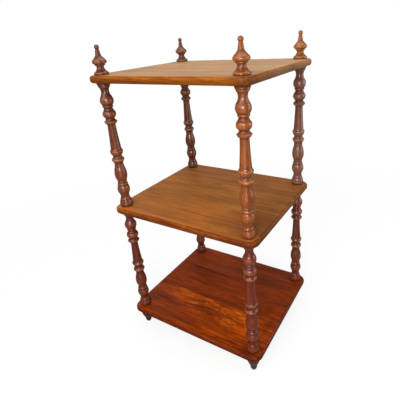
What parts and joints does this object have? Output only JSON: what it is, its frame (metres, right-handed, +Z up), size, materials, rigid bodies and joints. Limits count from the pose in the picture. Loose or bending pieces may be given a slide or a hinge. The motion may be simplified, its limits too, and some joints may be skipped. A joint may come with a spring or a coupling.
{
  "type": "etagere",
  "caption": "Free-standing open etagere: rectangular shelves with rounded corners, carried one over another by turned columns, with turned finials above and peg feet below.",
  "frame": {"origin": "on the floor, at the middle of the footprint", "axes": "+Z up; -Y is the front, a long side of the shelves; +X to the right seen from the front"},
  "size_m": [0.46, 0.396, 0.8845],
  "materials": {
    "bottom_shelf": "French-polished stained hardwood, deep red-brown with a figured orange stripe",
    "middle_shelf": "French-polished stained hardwood, mid orange-brown",
    "top_shelf": "French-polished stained hardwood, worn paler on the upper face",
    "columns": "turned hardwood, stained dark red-brown and polished, paler where rubbed",
    "finials": "turned hardwood, stained dark red-brown and polished, paler where rubbed",
    "feet": "turned hardwood, stained very dark"
  },
  "bodies": {
    "root": {"bottom_shelf_front_board": "bottom_shelf", "bottom_shelf_middle_board": "bottom_shelf", "bottom_shelf_back_board": "bottom_shelf", "middle_shelf_front_board": "middle_shelf", "middle_shelf_middle_board": "middle_shelf", "middle_shelf_back_board": "middle_shelf", "top_shelf_front_board": "top_shelf", "top_shelf_middle_board": "top_shelf", "top_shelf_back_board": "top_shelf", "foot_front_left": "feet", "foot_front_right": "feet", "foot_back_left": "feet", "foot_back_right": "feet", "lower_column_front_left": "columns", "lower_column_front_right": "columns", "lower_column_back_left": "columns", "lower_column_back_right": "columns", "upper_column_front_left": "columns", "upper_column_front_right": "columns", "upper_column_back_left": "columns", "upper_column_back_right": "columns", "finial_front_left": "finials", "finial_front_right": "finials", "finial_back_left": "finials", "finial_back_right": "finials"}
  },
  "joints": []
}
